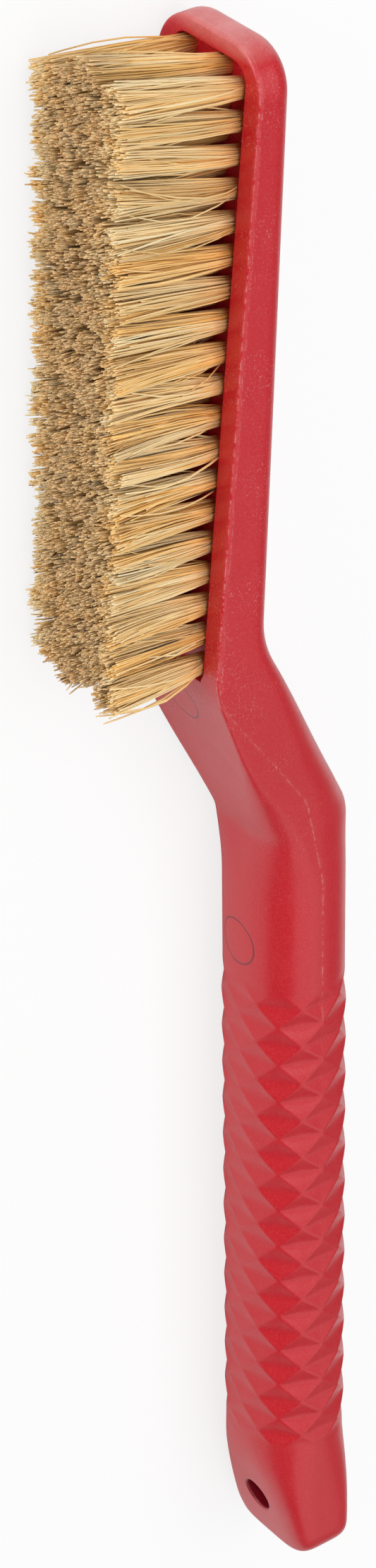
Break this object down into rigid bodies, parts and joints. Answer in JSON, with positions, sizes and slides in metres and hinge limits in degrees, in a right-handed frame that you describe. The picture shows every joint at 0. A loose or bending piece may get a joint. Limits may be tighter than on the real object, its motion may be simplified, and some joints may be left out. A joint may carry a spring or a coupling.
{
  "type": "climbing brush",
  "caption": "Long-handled climbing hold brush: offset narrow head with natural bristle tufts, necked one-piece plastic handle with a dimpled diamond grip and a hanging hole.",
  "frame": {"origin": "under the middle of the brush's box, on the plane it lies on, with the brush lying on its side", "axes": "+X runs from the head's tip to the end with the hanging hole, -Y is the way the bristles point, +Z goes across the head's width"},
  "size_m": [0.255, 0.0436, 0.0212],
  "materials": {
    "red_plastic": "satin moulded red plastic, lightly scuffed",
    "boar_bristle": "natural blond boar bristle"
  },
  "bodies": {
    "root": {"handle": "red_plastic", "tuft_pair_a_01": "boar_bristle", "tuft_pair_a_02": "boar_bristle", "tuft_pair_a_03": "boar_bristle", "tuft_pair_a_04": "boar_bristle", "tuft_pair_a_05": "boar_bristle", "tuft_pair_a_06": "boar_bristle", "tuft_pair_a_07": "boar_bristle", "tuft_pair_a_08": "boar_bristle", "tuft_pair_a_09": "boar_bristle", "tuft_pair_a_10": "boar_bristle", "tuft_pair_a_11": "boar_bristle", "tuft_pair_a_12": "boar_bristle", "tuft_pair_a_13": "boar_bristle", "tuft_pair_a_14": "boar_bristle", "tuft_pair_a_15": "boar_bristle", "tuft_pair_a_16": "boar_bristle", "tuft_pair_a_17": "boar_bristle", "tuft_pair_a_18": "boar_bristle", "tuft_pair_a_19": "boar_bristle", "tuft_pair_b_01": "boar_bristle", "tuft_pair_b_02": "boar_bristle", "tuft_pair_b_03": "boar_bristle", "tuft_pair_b_04": "boar_bristle", "tuft_pair_b_05": "boar_bristle", "tuft_pair_b_06": "boar_bristle", "tuft_pair_b_07": "boar_bristle", "tuft_pair_b_08": "boar_bristle", "tuft_pair_b_09": "boar_bristle", "tuft_pair_b_10": "boar_bristle", "tuft_pair_b_11": "boar_bristle", "tuft_pair_b_12": "boar_bristle", "tuft_pair_b_13": "boar_bristle", "tuft_pair_b_14": "boar_bristle", "tuft_pair_b_15": "boar_bristle", "tuft_pair_b_16": "boar_bristle", "tuft_pair_b_17": "boar_bristle", "tuft_pair_b_18": "boar_bristle", "tuft_pair_b_19": "boar_bristle"}
  },
  "joints": []
}
